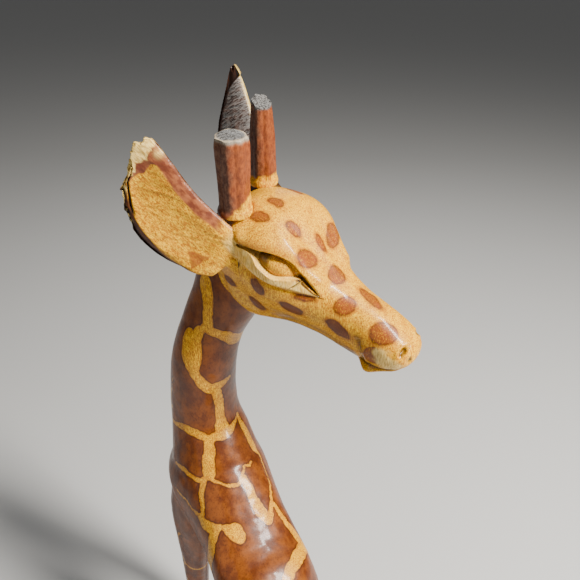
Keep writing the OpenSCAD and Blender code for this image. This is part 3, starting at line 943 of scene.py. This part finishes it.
def figure_paint():
    paint = Paint("figure_paint", 0.3, 0.13)
    # Ochre, with more dark in the lines on the neck and body than on the face
    face, patch = paint.field("face"), paint.field("patch")
    ochre, fine = ochre_wood(paint)
    speck = paint.grain((0.9, 0.9, 1.4), 4, 0.75)
    lines = paint.mix(paint.range(speck, 0.48, 0.62, 0, 0.5), ochre, BROWN_RED)
    ochre = paint.mix(face, lines, paint.mix(paint.range(speck, 0.52, 0.66, 0, 0.35), ochre, OCHRE_DEEP))
    # Brown patches, and redder spots on the face
    cloud = paint.grain((7, 7, 11), 5, 0.6)
    brown = paint.mix(paint.range(cloud, 0.35, 0.65), BROWN, BROWN_RED)
    brown = paint.mix(paint.range(speck, 0.5, 0.66, 0, 0.5), brown, BURNT)
    spot = paint.mix(paint.range(cloud, 0.4, 0.6), SPOT_RED, BROWN_RED)
    spot = paint.mix(paint.range(speck, 0.5, 0.64, 0, 0.6), spot, BROWN)
    spot = paint.mix(paint.range(fine, 0.46, 0.36, 0, 0.5), spot, OCHRE)
    # Painted shade on the spots low on the face
    spot = paint.mix(paint.calc("MULTIPLY", paint.field("low_spot_shade"), 0.8), spot, BROWN)
    brown = paint.mix(face, brown, spot)
    # Softer edges on the face, a burnt rim inside each patch and a dark halo outside it
    inside = paint.range(patch, paint.range(face, 0, 1, -0.3, -0.8), paint.range(face, 0, 1, 0.3, 0.6))
    color = paint.mix(inside, ochre, brown)
    rim = paint.calc("MULTIPLY", paint.range(patch, -0.1, 0.3), paint.range(patch, 1.4, 0.4))
    color = paint.mix(paint.calc("MULTIPLY", rim, paint.range(face, 0, 1, 0.45, 0.38)), color, BURNT)
    halo = paint.calc("MULTIPLY", paint.range(patch, -1.4, -0.1), paint.range(patch, 0.2, -0.1))
    color = paint.mix(paint.calc("MULTIPLY", halo, 0.4), color, OCHRE_DEEP)
    # The red-brown band above each brow
    color = paint.mix(paint.calc("MULTIPLY", paint.field("brow_band"), 0.75), color, BROWN_RED)
    color = paint.mix(paint.field("bare_wood_and_highlight"), color, raw_wood(paint))
    color = paint.mix(paint.field("hoof"), color, BURNT)
    color = paint.mix(paint.field("dark"), color, BURNT)
    rough = paint.range(fine, 0.3, 0.7, 0.32, 0.48)
    height = paint.calc("ADD", paint.calc("MULTIPLY", fine, 0.35), paint.calc("MULTIPLY", inside, 0.3))
    height = paint.calc("ADD", height, paint.calc("MULTIPLY", speck, 0.3))
    paint.relief(height, 0.14)
    return paint.finish(color, rough)


def horn_paint(side):
    paint = Paint(f"horn_{side}_paint", 0.25, 0.2, horn_places[side])
    ochre, fine = ochre_wood(paint, (0.5, 0.5, 3))
    streak = paint.grain((1.4, 1.4, 2.6), 5, 0.75)
    brown = paint.mix(paint.range(streak, 0.32, 0.68), HORN_BROWN, HORN_RED)
    brown = paint.mix(paint.range(fine, 0.52, 0.66, 0, 0.3), brown, BURNT)
    # Painted shade with grey scuffs on the horn's left side
    scuffed_and_shaded = paint.mix(paint.range(streak, 0.4, 0.62), SCUFF_SHADE_DARK, SCUFF_SHADE_PALE)
    brown = paint.mix(paint.calc("MULTIPLY", paint.field("scuff_and_shade"), 0.8), brown, scuffed_and_shaded)
    color = paint.mix(paint.field("brown"), ochre, brown)
    pits = paint.grain((0.7, 0.7, 0.7), 5, 0.8)
    grey = paint.mix(paint.range(pits, 0.40, 0.58), GREY_WOOD, GREY_DARK)
    color = paint.mix(paint.field("worn"), color, grey)
    color = paint.mix(paint.calc("MULTIPLY", paint.field("rim"), 0.7), color, HORN_RIM)
    rough = paint.range(fine, 0.3, 0.7, 0.34, 0.5)
    height = paint.calc("ADD", paint.calc("MULTIPLY", fine, 0.5), paint.calc("MULTIPLY", streak, 0.5))
    paint.relief(height, 0.18)
    return paint.finish(color, rough)


def ear_paint(side):
    paint = Paint(f"ear_{side}_paint", 0.25, 0.2, ear_places[side])
    ochre, fine = ochre_wood(paint, (0.5, 0.5, 1.6))
    cloud = paint.grain((3, 3, 6), 5, 0.65)
    # Painted sheen colours for the brown band
    sheen = paint.mix(paint.range(cloud, 0.38, 0.62), SHEEN_DARK, SHEEN_PALE)
    brown = paint.mix(paint.range(cloud, 0.35, 0.65), BROWN, BROWN_RED)
    color = paint.mix(paint.field("sheen"), ochre, sheen)
    color = paint.mix(paint.field("brown"), color, brown)
    color = paint.mix(paint.calc("MULTIPLY", paint.field("spot"), 0.8), color, SPOT_RED)
    color = paint.mix(paint.field("dark"), color, BURNT)
    scratch = paint.grain((3, 2, 0.5), 4, 0.75)
    grey = paint.mix(paint.range(scratch, 0.44, 0.58), GREY_WOOD, GREY_DARK)
    color = paint.mix(paint.field("grey"), color, grey)
    # Bare wood, and painted highlights in the same pale wood colour
    color = paint.mix(paint.field("bare_wood_and_highlight"), color, raw_wood(paint, (0.5, 0.5, 2.5)))
    rough = paint.range(fine, 0.3, 0.7, 0.40, 0.58)
    height = paint.calc("ADD", paint.calc("MULTIPLY", fine, 0.6), paint.calc("MULTIPLY", scratch, 0.4))
    paint.relief(height, 0.16)
    return paint.finish(color, rough)


def tail_paint():
    paint = Paint("tail_paint", 0.35, 0.15)
    fine = paint.grain((0.6, 0.6, 5), 4, 0.65)
    brown = paint.mix(paint.range(paint.grain((4, 4, 10), 4), 0.35, 0.65), BROWN, BROWN_RED)
    color = paint.mix(paint.range(fine, 0.45, 0.75, 0, 0.5), brown, OCHRE_DEEP)
    color = paint.mix(paint.calc("MULTIPLY", paint.field("tuft"), 0.85), color, BURNT)
    paint.relief(fine, 0.15)
    return paint.finish(color, paint.range(fine, 0.3, 0.7, 0.34, 0.5))


# ---- Studio ---------------------------------------------------------------------------

FLOOR_HALF = 12
LIGHTS_AIM = (0, 0, 0.36)
# Name, place, width, height, power and colour of each light, in metres and watts
LIGHTS = [
    ("key", (0.62, 0.36, 0.98), 0.16, 0.55, 36, (1, 0.96, 0.9)),
    ("fill", (0.25, -0.9, 0.7), 0.9, 0.9, 2.5, (1, 1, 1)),
    ("back", (-0.8, 0.5, 0.9), 0.6, 0.6, 1.5, (1, 1, 1)),
]


def make_floor():
    mesh = bpy.data.meshes.new("floor")
    half = FLOOR_HALF
    corners = [(-half, -half, 0), (half, -half, 0), (half, half, 0), (-half, half, 0)]
    mesh.from_pydata(corners, [], [(0, 1, 2, 3)])
    floor = bpy.data.objects.new("floor", mesh)
    bpy.context.scene.collection.objects.link(floor)
    material = bpy.data.materials.new("floor")
    material.use_nodes = True
    shader = material.node_tree.nodes["Principled BSDF"]
    shader.inputs["Base Color"].default_value = (0.62, 0.62, 0.61, 1)
    shader.inputs["Roughness"].default_value = 0.8
    mesh.materials.append(material)


def make_light(name, place, width, height, power, color):
    """A rectangular lamp that shines on the head."""
    data = bpy.data.lights.new(name, "AREA")
    data.shape = "RECTANGLE"
    data.size = width
    data.size_y = height
    data.energy = power
    data.color = color
    lamp = bpy.data.objects.new(name, data)
    bpy.context.scene.collection.objects.link(lamp)
    lamp.location = place
    aim = Vector(LIGHTS_AIM) - Vector(place)
    lamp.rotation_euler = aim.to_track_quat("-Z", "Y").to_euler()


def make_studio():
    make_floor()
    for light in LIGHTS:
        make_light(*light)
    world = bpy.data.worlds.new("studio")
    world.use_nodes = True
    background = world.node_tree.nodes["Background"]
    background.inputs["Color"].default_value = (0.8, 0.8, 0.8, 1)
    background.inputs["Strength"].default_value = 0.14
    bpy.context.scene.world = world


make_figure()
for side in SIDES:
    make_horn(side)
make_ear_right()
make_ear_left()
make_tail()
make_studio()
